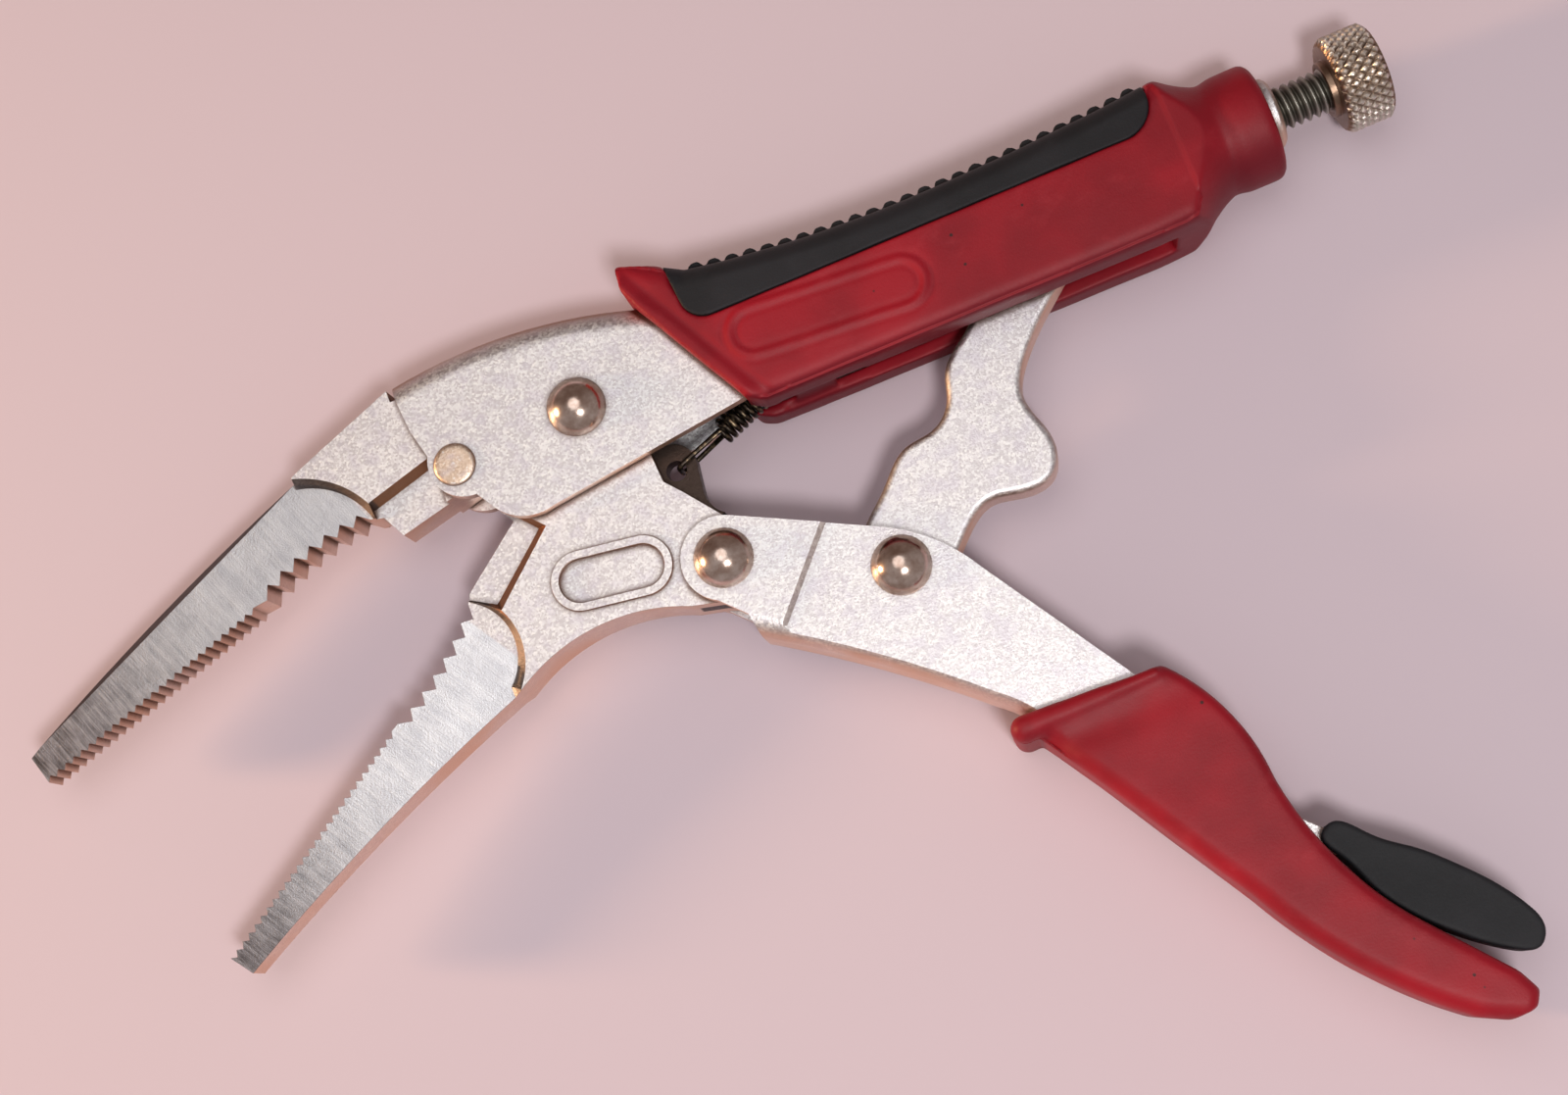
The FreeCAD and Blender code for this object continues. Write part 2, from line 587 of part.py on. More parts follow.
def pieces():
    """Every piece of the tool by name, drawn from the main pivot."""
    return {
        "upper_handle_channel": upper_handle_channel(),
        "fixed_jaw": fixed_jaw(),
        "fixed_jaw_rivet": rivet(JAW_RIVET, WALL_OUT, SMALL_SHANK, SMALL_HEAD, SMALL_HEAD_HEIGHT),
        "main_pivot_rivet": rivet(MAIN_PIVOT, WALL_OUT, PIVOT_SHANK, PIVOT_HEAD, HEAD_HEIGHT),
        "thread_bush": thread_bush(),
        "upper_grip": upper_grip(),
        "upper_grip_inlay": upper_grip_inlay(),
        "spring_anchor_pin": cross_pin(SPRING_ANCHOR, WALL_OUT),
        "tension_spring": tension_spring(),
        "moving_jaw": moving_jaw(),
        "jaw_handle_rivet": rivet(HANDLE_PIVOT, WALL_OUT, PIVOT_SHANK, PIVOT_HEAD, HEAD_HEIGHT),
        "lower_handle_channel": lower_handle_channel(),
        "lower_grip": lower_grip(),
        "link_rivet": rivet(LINK_PIVOT, REAR_OUT, PIVOT_SHANK, PIVOT_HEAD, HEAD_HEIGHT),
        "release_lever_pin": cross_pin(LEVER_PIVOT, REAR_OUT),
        "toggle_link": toggle_link(),
        "release_lever": release_lever(),
        "release_lever_pad": release_lever_pad(),
        "release_lever_spring": release_lever_spring(),
        "adjusting_screw": adjusting_screw(),
        "adjusting_knob": adjusting_knob(),
    }


def shift_to_base(shapes):
    """The move that puts the origin under the middle of the whole tool."""
    whole = FreeCAD.BoundBox()
    for shape in shapes.values():
        whole.add(shape.optimalBoundingBox(False, False))
    return Vector(-whole.Center.x, -whole.Center.y, -whole.ZMin)


def main():
    os.makedirs("parts", exist_ok=True)
    shapes = pieces()
    shift = shift_to_base(shapes)
    print("shift from the main pivot:", shift)
    for name, shape in shapes.items():
        shape.translate(shift)
        shape.exportStep(f"parts/{name}.step")
        print(name, "solids", len(shape.Solids), "volume", round(shape.Volume, 1), shape.isValid())


main()
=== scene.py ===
"""Looks of the long-nose locking pliers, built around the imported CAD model.

Lengths in the helpers are millimetres in the tool's own plane: from the main pivot, +X along the
upper handle, +Y away from the lower handle, and Z from the middle plane of the tool.
"""

import math

import bpy
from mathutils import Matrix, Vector, noise


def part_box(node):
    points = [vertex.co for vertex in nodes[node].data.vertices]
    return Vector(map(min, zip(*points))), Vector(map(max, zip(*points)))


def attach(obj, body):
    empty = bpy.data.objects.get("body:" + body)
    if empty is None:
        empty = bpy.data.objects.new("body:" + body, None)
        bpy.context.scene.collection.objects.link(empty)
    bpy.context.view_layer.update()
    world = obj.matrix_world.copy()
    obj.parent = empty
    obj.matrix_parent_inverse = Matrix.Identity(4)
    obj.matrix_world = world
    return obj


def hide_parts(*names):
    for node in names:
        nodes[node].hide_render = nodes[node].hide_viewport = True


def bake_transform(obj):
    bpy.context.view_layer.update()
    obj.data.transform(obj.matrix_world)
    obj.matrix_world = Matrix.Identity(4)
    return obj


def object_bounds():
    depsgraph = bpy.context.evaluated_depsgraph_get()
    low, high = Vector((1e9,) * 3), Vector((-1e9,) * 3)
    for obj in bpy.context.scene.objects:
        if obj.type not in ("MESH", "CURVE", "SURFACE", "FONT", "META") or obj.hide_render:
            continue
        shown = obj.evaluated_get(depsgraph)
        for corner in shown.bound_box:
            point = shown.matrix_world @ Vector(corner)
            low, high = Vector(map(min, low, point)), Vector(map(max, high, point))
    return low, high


MM = 0.001
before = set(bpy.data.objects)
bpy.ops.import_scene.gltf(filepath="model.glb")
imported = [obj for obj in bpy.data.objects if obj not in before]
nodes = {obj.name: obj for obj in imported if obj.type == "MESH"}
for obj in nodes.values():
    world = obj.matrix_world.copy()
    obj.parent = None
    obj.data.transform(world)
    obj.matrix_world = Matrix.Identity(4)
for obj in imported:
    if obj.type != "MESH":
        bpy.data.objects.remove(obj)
cad_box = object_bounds()
scene = bpy.context.scene

_low, _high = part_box("main_pivot_rivet")
PIVOT = (_low + _high) / 2


def at(x, y, z=0.0):
    """A point of the tool's own plane, in the row frame."""
    return PIVOT + Vector((x, y, z)) * MM


def tool_point(point):
    """The tool's own coordinates, in millimetres, of a row frame point."""
    return (Vector(point) - PIVOT) / MM


# Half of the tool's thickness, which no softened piece may pass.
THICK = 9.79

# ---- Mesh helpers --------------------------------------------------------------------------

def new_piece(name, vertices, faces, body, replaced, smooth=True):
    """A mesh piece that rides on a body in place of some CAD nodes."""
    mesh = bpy.data.meshes.new(name)
    mesh.from_pydata([tuple(v) for v in vertices], [], faces)
    mesh.validate()
    mesh.update()
    mesh.polygons.foreach_set("use_smooth", [smooth] * len(mesh.polygons))
    obj = bpy.data.objects.new(name, mesh)
    scene.collection.objects.link(obj)
    if body:
        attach(obj, body)
    if replaced:
        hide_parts(*replaced)
    return obj


def ring_faces(rings, around):
    """Quads between rings of points, and one flat face at each end."""
    faces = []
    for ring in range(rings - 1):
        for step in range(around):
            after = (step + 1) % around
            faces.append((ring * around + step, ring * around + after,
                          (ring + 1) * around + after, (ring + 1) * around + step))
    faces.append(tuple(reversed(range(around))))
    faces.append(tuple((rings - 1) * around + step for step in range(around)))
    return faces


def tube(points, radius, sides=10):
    """Vertices and faces of a round wire through the points."""
    points = [Vector(p) for p in points]
    vertices = []
    normal = None
    for index, point in enumerate(points):
        before = points[max(index - 1, 0)]
        after = points[min(index + 1, len(points) - 1)]
        along = (after - before).normalized()
        if normal is None:
            normal = along.orthogonal().normalized()
        normal = (normal - along * normal.dot(along)).normalized()
        across = along.cross(normal)
        for side in range(sides):
            turn = 2 * math.pi * side / sides
            vertices.append(point + (normal * math.cos(turn) + across * math.sin(turn)) * radius)
    return vertices, ring_faces(len(points), sides)


def rounded_path(corners, radius, steps=6):
    """The corner points with each inner corner turned into an arc-like curve."""
    corners = [Vector(c) for c in corners]
    path = [corners[0]]
    for before, corner, after in zip(corners, corners[1:], corners[2:]):
        reach_in = min(radius, (corner - before).length * 0.45)
        reach_out = min(radius, (after - corner).length * 0.45)
        start = corner + (before - corner).normalized() * reach_in
        end = corner + (after - corner).normalized() * reach_out
        for step in range(steps + 1):
            t = step / steps
            path.append(start * (1 - t) ** 2 + corner * 2 * t * (1 - t) + end * t ** 2)
    path.append(corners[-1])
    return path


def finished_mesh(obj, name):
    """The object's mesh with its modifiers applied."""
    bpy.context.view_layer.update()
    graph = bpy.context.evaluated_depsgraph_get()
    mesh = bpy.data.meshes.new_from_object(obj.evaluated_get(graph))
    mesh.name = name
    return mesh


def sculpted(node, name, body, voxel, passes, shape):
    """A softened copy of a CAD node: remeshed, smoothed, then each point moved by shape."""
    source = nodes[node].data.copy()
    obj = bpy.data.objects.new(name, source)
    scene.collection.objects.link(obj)
    weld = obj.modifiers.new("weld", "WELD")
    weld.merge_threshold = 1e-6
    remesh = obj.modifiers.new("remesh", "REMESH")
    remesh.mode = "VOXEL"
    remesh.voxel_size = voxel * MM
    relax = obj.modifiers.new("relax", "SMOOTH")
    relax.factor = 0.5
    relax.iterations = passes
    mesh = finished_mesh(obj, name)
    obj.modifiers.clear()
    obj.data = mesh
    for vertex in mesh.vertices:
        point = shape(tool_point(vertex.co))
        point.z = max(-THICK, min(THICK, point.z))
        vertex.co = PIVOT + point * MM
    mesh.polygons.foreach_set("use_smooth", [True] * len(mesh.polygons))
    mesh.update()
    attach(obj, body)
    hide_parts(node)
    return obj


def machined(node, width, angle=32.0, segments=2):
    """Takes the sharp edges off a carried-over CAD node."""
    obj = nodes[node]
    weld = obj.modifiers.new("weld", "WELD")
    weld.merge_threshold = 1e-6
    flats = obj.modifiers.new("flats", "DECIMATE")
    flats.decimate_type = "DISSOLVE"
    flats.angle_limit = math.radians(0.5)
    bevel = obj.modifiers.new("edges", "BEVEL")
    bevel.width = width * MM
    bevel.segments = segments
    bevel.limit_method = "ANGLE"
    bevel.angle_limit = math.radians(angle)
    bevel.use_clamp_overlap = True
    normals = obj.modifiers.new("normals", "WEIGHTED_NORMAL")
    normals.keep_sharp = False
    return obj


# ---- Material helpers ----------------------------------------------------------------------

class Shader:
    """A principled material and short calls for the nodes that feed it."""

    def __init__(self, name, **constants):
        self.material = bpy.data.materials.new(name)
        self.material.use_nodes = True
        self.tree = self.material.node_tree
        self.main = self.tree.nodes["Principled BSDF"]
        for key, value in constants.items():
            self.main.inputs[key.replace("_", " ")].default_value = value

    def add(self, kind, inputs=(), **settings):
        node = self.tree.nodes.new(kind)
        for key, value in settings.items():
            setattr(node, key, value)
        for key, value in dict(inputs).items():
            self.feed(node.inputs[key], value)
        return node

    def feed(self, socket, value):
        if isinstance(value, bpy.types.NodeSocket):
            self.tree.links.new(value, socket)
        else:
            socket.default_value = value

    def set(self, key, value):
        self.feed(self.main.inputs[key], value)

    def place(self, scale=(1, 1, 1), turn=0.0, origin=None):
        """Rest coordinates in metres, turned about Z from an origin, then scaled."""
        here = self.add("ShaderNodeTexCoord").outputs["Object"]
        middle = PIVOT if origin is None else origin
        moved = self.add("ShaderNodeVectorMath", {0: here, 1: tuple(middle)},
                         operation="SUBTRACT").outputs[0]
        return self.add("ShaderNodeMapping", {"Vector": moved, "Rotation": (0, 0, -turn),
                                              "Scale": scale}).outputs[0]

    def split(self, vector):
        return self.add("ShaderNodeSeparateXYZ", {"Vector": vector}).outputs

    def noise(self, vector, size, detail=2.0, rough=0.5):
        """Noise with features about size millimetres across."""
        return self.add("ShaderNodeTexNoise", {"Vector": vector, "Scale": 1 / (size * MM),
                                               "Detail": detail, "Roughness": rough}).outputs[0]

    def cells(self, vector, size):
        """A random value in each cell about size millimetres across."""
        node = self.add("ShaderNodeTexVoronoi", {"Vector": vector, "Scale": 1 / (size * MM)})
        return self.split(node.outputs["Color"])[0]

    def painted_corner_shade(self, reach):
        """Painted shade from ambient occlusion: 1 in corners within reach millimetres of another
        surface, 0 on open faces.
        """
        node = self.add("ShaderNodeAmbientOcclusion", {"Distance": reach * MM}, samples=6)
        return self.fade(self.math("SUBTRACT", 1.0, node.outputs["AO"]), 0.05, 0.36)

    def math(self, operation, first, second=0.0, clamp=False):
        return self.add("ShaderNodeMath", {0: first, 1: second}, operation=operation,
                        use_clamp=clamp).outputs[0]

    def fade(self, value, low, high):
        """0 below low, 1 above high, smooth between."""
        return self.add("ShaderNodeMapRange", {"Value": value, "From Min": low, "From Max": high},
                        interpolation_type="SMOOTHSTEP").outputs[0]

    def span(self, value, low, high):
        """A 0 to 1 value turned into low to high."""
        return self.add("ShaderNodeMapRange", {"Value": value, "To Min": low,
                                               "To Max": high}).outputs[0]

    def blend(self, share, first, second):
        """Colour between first and second."""
        node = self.add("ShaderNodeMix", data_type="RGBA")
        self.feed(node.inputs[0], share)
        self.feed(node.inputs[6], first)
        self.feed(node.inputs[7], second)
        return node.outputs[2]

    def bump(self, height, distance, strength=1.0, onto=None):
        """A bump of the given height in millimetres, on top of another normal."""
        node = self.add("ShaderNodeBump", {"Height": height, "Strength": strength,
                                           "Distance": distance * MM})
        if onto is not None:
            self.feed(node.inputs["Normal"], onto)
        return node.outputs[0]


def rgb(red, green, blue):
    """Linear colour of a screen colour given from 0 to 255."""
    linear = []
    for value in (red, green, blue):
        value = value / 255
        linear.append(value / 12.92 if value <= 0.04045 else ((value + 0.055) / 1.055) ** 2.4)
    return (*linear, 1.0)


def plated(name, light, dark, painted_side_colour, rough=(0.38, 0.56), grain=0.25,
           corner_shade_strength=1.0):
    """Satin nickel plate over a slightly pebbled surface, with painted light and shade on its
    sides and painted shade in its corners.
    """
    s = Shader(name, Metallic=1.0)
    here = s.place()
    cloud = s.noise(here, 14.0, 3.0)
    pebble = s.noise(here, grain, 2.0, 0.6)
    sparkle = s.cells(here, grain * 1.3)
    patchy = s.math("ADD", s.math("MULTIPLY", cloud, 0.3), s.math("MULTIPLY", sparkle, 0.7))
    base = s.blend(s.fade(patchy, 0.15, 0.85), dark, light)
    glint = s.math("MULTIPLY", s.fade(sparkle, 0.86, 1.0), 0.7)
    base = s.blend(glint, base, (1.0, 0.99, 0.97, 1.0))
    lilac = s.math("MULTIPLY", s.fade(s.noise(here, 2.4, 2.0), 0.45, 0.7), 0.3)
    base = s.blend(lilac, base, rgb(206, 198, 214))
    # Painted light and shade on sides that do not face up: tan on those facing -Y, the painted
    # side colour on the others.
    facing = s.math("ABSOLUTE", s.split(s.add("ShaderNodeNewGeometry").outputs["True Normal"])[2])
    side = s.math("SUBTRACT", 1.0, s.fade(facing, 0.5, 0.995))
    heading = s.split(s.add("ShaderNodeTexCoord").outputs["Normal"])[1]
    painted_side_tone = s.blend(s.fade(heading, -0.7, 0.0), rgb(226, 186, 160), painted_side_colour)
    painted_side_share = s.math("MULTIPLY", side, s.span(s.fade(cloud, 0.35, 0.65), 0.6, 0.95))
    base = s.blend(painted_side_share, base, painted_side_tone)
    # Painted shade in corners, in dark brown.
    corner_shade_share = s.math("MULTIPLY", s.painted_corner_shade(1.2), s.span(cloud, 0.75 * corner_shade_strength, corner_shade_strength))
    s.set("Base Color", s.blend(corner_shade_share, base, rgb(98, 64, 44)))
    s.set("Roughness", s.span(sparkle, rough[0], rough[1]))
    waves = s.bump(s.noise(here, 7.0, 1.0), 0.05)
    s.set("Normal", s.bump(pebble, 0.06, 1.0, waves))
    return s


def ground_steel(s, here_along, base, rough, normal, mask, near, far):
    """Adds cross-ground streaks where mask is 1; near and far are the tone at root and tip."""
    x, y, z = s.split(here_along)
    flat = s.add("ShaderNodeCombineXYZ", {0: x,
                                          1: s.math("MULTIPLY", y, 0.05),
                                          2: s.math("MULTIPLY", z, 0.05)}).outputs[0]
    fine = s.noise(flat, 0.22, 3.0, 0.7)
    coarse = s.noise(flat, 1.3, 2.0, 0.6)
    blotch = s.noise(here_along, 4.0, 3.0, 0.6)
    streak = s.math("ADD", s.math("MULTIPLY", fine, 0.65), s.math("MULTIPLY", coarse, 0.35))
    tone = s.math("ADD", s.math("MULTIPLY", s.fade(streak, 0.34, 0.66), 0.6),
                  s.math("MULTIPLY", s.fade(blotch, 0.3, 0.7), 0.4))
    ground = s.blend(tone, far, near)
    out_base = s.blend(mask, base, ground)
    ground_rough = s.span(streak, 0.22, 0.5)
    out_rough = s.add("ShaderNodeMix", data_type="FLOAT")
    s.feed(out_rough.inputs[0], mask)
    s.feed(out_rough.inputs[2], rough)
    s.feed(out_rough.inputs[3], ground_rough)
    cut = s.math("MULTIPLY", streak, mask)
    out_normal = s.bump(cut, 0.03, 1.0, normal)
    return out_base, out_rough.outputs[0], out_normal


def jaw_material(name, root, heading, shoulder, shade, tip_shade):
    """Plated forging whose nose, past root along heading, is cross-ground and darker towards its
    tip.

    Slopes past the shoulder get a dark painted shade; those before it, beside the cutter, a brown
    painted shade.
    """
    s = plated(name, rgb(250, 249, 249), rgb(212, 206, 206), rgb(140, 100, 74))
    links = {link.to_socket.name: link.from_socket for link in s.tree.links
             if link.to_node == s.main}
    along = s.place(turn=heading, origin=at(*root))
    x, y, z = s.split(along)
    low = s.math("ABSOLUTE", s.split(s.place())[2])
    past = s.math("MULTIPLY", s.fade(x, 0.0, 0.4 * MM),
                  s.math("SUBTRACT", 1.0, s.fade(low, 3.9 * MM, 4.1 * MM)))
    facing = s.math("ABSOLUTE", s.split(s.add("ShaderNodeNewGeometry").outputs["True Normal"])[2])
    mask = s.math("MULTIPLY", past, s.fade(facing, 0.55, 0.8))
    tip = s.fade(x, 24 * MM, 62 * MM)
    near = s.blend(tip, rgb(250 * shade, 252 * shade, 255 * shade),
                   rgb(206 * tip_shade, 202 * tip_shade, 206 * tip_shade))
    far = s.blend(tip, rgb(212 * shade, 214 * shade, 220 * shade),
                  rgb(96 * tip_shade, 88 * tip_shade, 86 * tip_shade))
    base, rough, normal = ground_steel(s, along, links["Base Color"], links["Roughness"],
                                       links["Normal"], mask, near, far)
    # Painted shade on the thin lug at mid-thickness.
    lug = s.math("SUBTRACT", 1.0, s.fade(low, 1.62 * MM, 1.72 * MM))
    lug = s.math("MULTIPLY", lug, s.fade(s.split(s.place())[0], 5.8 * MM, 6.2 * MM))
    # Painted shade in the corners of the ground nose.
    base = s.blend(s.math("MULTIPLY", s.painted_corner_shade(1.2), mask), base, rgb(90, 72, 60))
    # Painted shade on slopes and step walls: brown before the shoulder, dark past it.
    slope = s.math("MULTIPLY", s.fade(facing, 0.2, 0.4),
                   s.math("SUBTRACT", 1.0, s.fade(facing, 0.93, 0.985)))
    step = s.blend(s.fade(x, (shoulder - 0.4) * MM, shoulder * MM), rgb(134, 88, 58),
                   rgb(62, 50, 47))
    base = s.blend(s.math("MULTIPLY", slope, 0.88), base, step)
    s.set("Base Color", s.blend(lug, base, rgb(74, 62, 56)))
    s.set("Roughness", rough)
    s.set("Normal", normal)
    return s


def rivet_material():
    """Polished, slightly smeared rivet heads."""
    s = Shader("rivet_polish", Metallic=1.0)
    here = s.place()
    smear = s.noise(here, 2.2, 3.0, 0.6)
    s.set("Base Color", s.blend(s.fade(smear, 0.3, 0.7), rgb(190, 162, 146), rgb(230, 212, 200)))
    s.set("Roughness", s.span(smear, 0.13, 0.24))
    s.set("Normal", s.bump(s.noise(here, 0.5, 2.0), 0.012))
    return s


def axis_distance(s, height):
    """Distance in metres from the screw's axis, which is height millimetres above the pivot."""
    x, y, z = s.split(s.place(origin=at(0, height)))
    square = s.math("ADD", s.math("MULTIPLY", y, y), s.math("MULTIPLY", z, z))
    return s.math("SQRT", square)


def turned_steel(name, crest, groove_shade, low, high, rough, height):
    """Steel that is bright at its crests and has painted shade in its grooves."""
    s = Shader(name, Metallic=1.0)
    here = s.place()
    worn = s.noise(here, 1.2, 3.0, 0.6)
    depth = s.fade(axis_distance(s, height), low * MM, high * MM)
    # Painted shade in the grooves, lifting to the crest colour towards the crests.
    lit = s.math("MULTIPLY", depth, s.span(worn, 0.55, 1.0))
    s.set("Base Color", s.blend(lit, groove_shade, crest))
    s.set("Roughness", s.span(worn, rough[0], rough[1]))
    s.set("Normal", s.bump(s.noise(here, 0.25, 2.0), 0.02))
    return s


def spring_material():
    """Dark oiled spring wire with a few bright rubs."""
    s = Shader("spring_wire", Metallic=1.0)
    here = s.place()
    rub = s.noise(here, 0.8, 3.0)
    s.set("Base Color", s.blend(s.fade(rub, 0.45, 0.7), rgb(58, 51, 45), rgb(150, 132, 106)))
    s.set("Roughness", s.span(rub, 0.3, 0.5))
    s.set("Normal", s.bump(s.noise(here, 0.2, 2.0), 0.01))
    return s


def vinyl(name, base, deep, pale, rough, specks, under=0.0):
    """Soft moulded plastic: mottled, with fine grain, pale scuffs and a few dark specks.

    Its last argument is how much painted shade darkens its lower flank.
    """
    s = Shader(name)
    here = s.place()
    cloud = s.noise(here, 16.0, 3.0)
    grain = s.noise(here, 0.35, 2.0, 0.6)
    scuff = s.noise(s.place(scale=(1.0, 1.5, 1.0), turn=0.5), 6.0, 4.0, 0.65)
    base = s.blend(s.fade(cloud, 0.3, 0.7), deep, base)
    base = s.blend(s.math("MULTIPLY", s.fade(scuff, 0.52, 0.8), 0.16), base, pale)
    # Painted shade on the lower flank, scaled by the last argument.
    heading = s.split(s.add("ShaderNodeTexCoord").outputs["Normal"])[1]
    below = s.math("SUBTRACT", 1.0, s.fade(heading, -0.85, -0.35))
    base = s.blend(s.math("MULTIPLY", below, under), base, rgb(96, 14, 28))
    # Painted shade in corners, in the deep red.
    base = s.blend(s.math("MULTIPLY", s.painted_corner_shade(1.5), 0.55), base, deep)
    spot = s.add("ShaderNodeTexVoronoi", {"Vector": here, "Scale": 1 / (3.4 * MM)},
                 feature="F1").outputs["Distance"]
    lone = s.fade(s.noise(here, 5.0, 1.0), 0.52, 0.6)
    dark = s.math("MULTIPLY", s.math("SUBTRACT", 1.0, s.fade(spot, 0.05, 0.1)), lone)
    base = s.blend(s.math("MULTIPLY", dark, specks), base, (0.02, 0.012, 0.012, 1.0))
    s.set("Base Color", base)
    s.set("Roughness", s.span(s.math("ADD", s.math("MULTIPLY", grain, 0.5),
                                     s.math("MULTIPLY", scuff, 0.5)), rough[0], rough[1]))
    dent = s.bump(cloud, 0.25)
    s.set("Normal", s.bump(grain, 0.03, 1.0, dent))
    s.main.inputs["Specular IOR Level"].default_value = 0.3
    s.main.inputs["Subsurface Weight"].default_value = 0.08
    s.main.inputs["Subsurface Radius"].default_value = (0.002, 0.0006, 0.0005)
    s.main.inputs["Subsurface Scale"].default_value = 1.0
    return s


# ---- Replacement pieces --------------------------------------------------------------------

SCREW_Y = 2.4


def around_screw(x, radius, turn):
    """A point at a distance from the screw's axis."""
    return at(x, SCREW_Y + radius * math.cos(turn), radius * math.sin(turn))


def triangle_wave(value):
    """0 at whole numbers, 1 halfway between."""
    return 1 - abs(2 * (value % 1.0) - 1)


def make_screw():
    """Screw with a real right-hand helical thread."""
    pitch, crest, depth = 1.4, 3.42, 0.72
    start, end = 94.5, 128.8
    around, step = 56, 0.14
    rings = int((end - start) / step) + 1
    vertices = []
    for ring in range(rings):
        x = start + ring * step
        ease = min(1.0, (x - start + 0.5) / 1.3)
        for side in range(around):
            turn = 2 * math.pi * side / around
            wave = triangle_wave(x / pitch - turn / (2 * math.pi))
            height = min(1.0, max(0.0, (wave - 0.14) / 0.72))
            radius = (crest - depth * (1 - height)) * ease ** 0.25
            vertices.append(around_screw(x, radius, turn))
    return new_piece("adjusting_screw_thread", vertices, ring_faces(rings, around), "screw",
                     ["adjusting_screw"])


def make_knob():
    """Knob with a diamond knurl, chamfered rims and a dished end.

    Each point of the profile is its place along the axis, its radius and its share of the knurl.
    """
    around, diamonds, axial = 330, 30, 1.85
    profile = [(122.55, 3.6, 0), (122.5, 3.75, 0), (122.5, 4.25, 0), (122.6, 4.4, 0),
               (123.45, 4.45, 0), (123.5, 4.6, 0), (123.5, 6.3, 0), (123.55, 6.55, 0)]
    count = 40
    for step in range(count + 1):
        x = 123.62 + (131.0 - 123.62) * step / count
        rim = min(x - 123.5, 131.1 - x)
        radius = 7.58 - max(0.0, 0.85 - rim) * 1.05
        profile.append((x, radius, min(1.0, 0.35 + rim * 0.8)))
    profile += [(131.08, 6.5, 0), (131.1, 6.2, 0), (131.1, 5.4, 0), (131.0, 5.1, 0),
                (130.85, 4.6, 0), (130.82, 2.0, 0), (130.82, 0.4, 0)]
    vertices = []
    for x, radius, knurl in profile:
        for side in range(around):
            turn = side / around
            first = triangle_wave(turn * diamonds + x / axial)
            second = triangle_wave(turn * diamonds - x / axial)
            height = min(1.0, min(first, second) * 1.7)
            vertices.append(around_screw(x, radius - 0.6 * knurl * (1 - height),
                                         2 * math.pi * turn))
    return new_piece("adjusting_knob_knurled", vertices, ring_faces(len(profile), around),
                     "knob", ["adjusting_knob"], smooth=False)


def make_flat_rivet():
    """Small rivet with a low, flat head on each side; the profile is radius and height."""
    around, centre = 64, (-20.5, -1.0)
    head = [(0.05, 7.14), (1.2, 7.16), (2.3, 7.18), (2.75, 7.15), (3.05, 7.05), (3.24, 6.88),
            (3.28, 6.7), (2.0, 6.69)]
    profile = head + [(radius, -z) for radius, z in reversed(head)]
    vertices = []
    for radius, z in profile:
        for side in range(around):
            turn = 2 * math.pi * side / around
            vertices.append(at(centre[0] + radius * math.cos(turn),
                               centre[1] + radius * math.sin(turn), z))
    return new_piece("fixed_jaw_flat_rivet", vertices, ring_faces(len(profile), around),
                     "upper_handle", ["fixed_jaw_rivet"])


SPRING_ANCHOR = (46.0, 0.0)
LUG_HOLE = (10.2, -14.0)


def make_tension_spring():
    """Close-wound coil, with a long open hook through the jaw's lug and an eye on its pin."""
    hook = Vector((*LUG_HOLE, 0.0))
    anchor = Vector((*SPRING_ANCHOR, 0.0))
    run = (anchor - hook).normalized()
    side = Vector((-run.y, run.x, 0.0))
    up = Vector((0.0, 0.0, 1.0))
    start = hook + run * 9.0
    end = anchor - run * 5.0
    length = (end - start).length
    mean, wire = 1.75, 0.42
    turns = int(length / 1.02)
    steps = 18
    coil = []
    for index in range(turns * steps + 1):
        turn = 2 * math.pi * index / steps + math.pi / 2
        offset = side * (mean * math.cos(turn)) + up * (mean * math.sin(turn))
        coil.append(start + run * (length * index / (turns * steps)) + offset)
    front = [start + run * 0.2 + up * -mean, hook + run * 2.2 + up * -2.15,
             hook + run * 0.55 + up * -2.1, hook + run * 0.55 + up * 2.1,
             hook + run * 2.4 + up * 2.15, start + up * mean]
    eye = []
    for index in range(22):
        turn = math.pi + 2 * math.pi * 0.86 * index / 21
        eye.append(anchor + (run * math.cos(turn) + side * math.sin(turn)) * 2.05)
    rear = [end + up * mean, end + run * 1.4 + up * 0.6]
    path = rounded_path(front, 1.0)[:-1] + coil + rounded_path(rear, 0.6)[1:] + eye
    points = [at(*p) for p in path]
    vertices, faces = tube(points, wire * MM, 9)
    obj = new_piece("tension_spring_coil", vertices, faces, None, ["tension_spring"])
    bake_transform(obj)
    return obj


def make_lever_leaf():
    """The lever's return leaf, copied with its edges rounded off."""
    mesh = nodes["release_lever_spring"].data.copy()
    obj = bpy.data.objects.new("release_lever_leaf", mesh)
    scene.collection.objects.link(obj)
    weld = obj.modifiers.new("weld", "WELD")
    weld.merge_threshold = 1e-6
    bevel = obj.modifiers.new("edges", "BEVEL")
    bevel.width = 0.08 * MM
    bevel.segments = 2
    obj.data = finished_mesh(obj, "release_lever_leaf")
    obj.modifiers.clear()
    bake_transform(obj)
    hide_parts("release_lever_spring")
    return obj


def wobble(point, size, height):
    """A small smooth push of a point, for surfaces that were moulded by hand."""
    shift = noise.noise_vector(Vector(point) / size)
    return Vector(point) + shift * height


def capsule_distance(x, y, centre, length, width, tilt):
    """Distance from the outline of a round-ended label."""
    dx, dy = x - centre[0], y - centre[1]
    along = dx * math.cos(tilt) + dy * math.sin(tilt)
    across = -dx * math.sin(tilt) + dy * math.cos(tilt)
    reach = (length - width) / 2
    gap = math.hypot(along - max(-reach, min(reach, along)), across)
    return abs(gap - width / 2)


